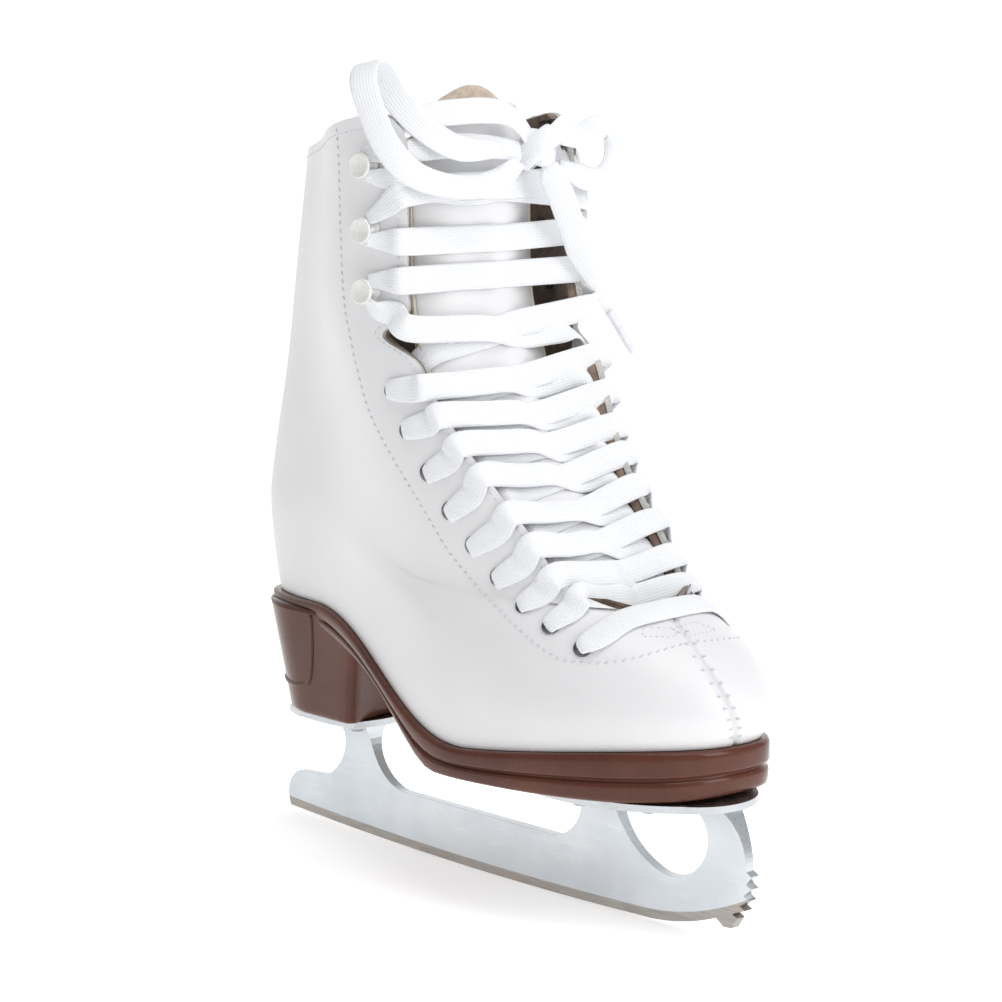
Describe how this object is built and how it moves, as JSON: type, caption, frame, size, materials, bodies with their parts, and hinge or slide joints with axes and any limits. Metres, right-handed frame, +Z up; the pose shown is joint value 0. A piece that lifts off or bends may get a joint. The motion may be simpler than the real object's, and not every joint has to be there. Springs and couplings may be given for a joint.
{
  "type": "figure skate",
  "caption": "Right-foot figure skate: laced white leather boot with a moulded sole and heel, and a steel blade with toe picks on screwed plates.",
  "frame": {"origin": "lowest point of the blade's rocker, on the blade's middle plane, where it meets the ice", "axes": "+X towards the toe, +Y towards the inner side of the foot, +Z up"},
  "size_m": [0.2537, 0.128, 0.3035],
  "materials": {
    "white_leather": "smooth coated",
    "brown_lining": "brushed microfibre",
    "foam": "open-cell foam",
    "stiffener": "moulded",
    "brown_sole": "glossy moulded",
    "fibre_board": "pressed fibre",
    "footbed": "laminated",
    "spring_steel": "ground",
    "polished_steel": "polished",
    "screw_steel": "bright",
    "dark_eyelet": "gunmetal",
    "white_hook": "enamel",
    "white_lace": "flat woven",
    "clear_tip": "shrunk film"
  },
  "bodies": {
    "root": {"blade_runner": "polished_steel", "sole_plate": "polished_steel", "heel_plate": "polished_steel", "sole_plate_screws": "screw_steel", "heel_plate_screws": "screw_steel", "outsole_and_heel": "brown_sole", "shank": "spring_steel", "insole_board": "fibre_board", "footbed": "footbed", "upper_quarter_lateral": "white_leather", "ankle_padding_lateral": "foam", "lining_lateral": "brown_lining", "heel_counter_lateral": "stiffener", "toe_puff_lateral": "stiffener", "eyelets_lateral": "dark_eyelet", "hooks_lateral": "white_hook", "hook_rivets_lateral": "screw_steel", "upper_quarter_medial": "white_leather", "ankle_padding_medial": "foam", "lining_medial": "brown_lining", "heel_counter_medial": "stiffener", "toe_puff_medial": "stiffener", "eyelets_medial": "dark_eyelet", "hooks_medial": "white_hook", "hook_rivets_medial": "screw_steel", "tongue_face": "white_leather", "tongue_padding": "foam", "tongue_lining": "brown_lining", "lace_strand_a": "white_lace", "lace_strand_b": "white_lace", "lace_bottom_bar": "white_lace", "lace_knot": "white_lace", "lace_loop_outer": "white_lace", "lace_loop_inner": "white_lace", "lace_end_front": "white_lace", "lace_end_back": "white_lace", "aglet_front": "clear_tip", "aglet_back": "clear_tip"}
  },
  "joints": []
}
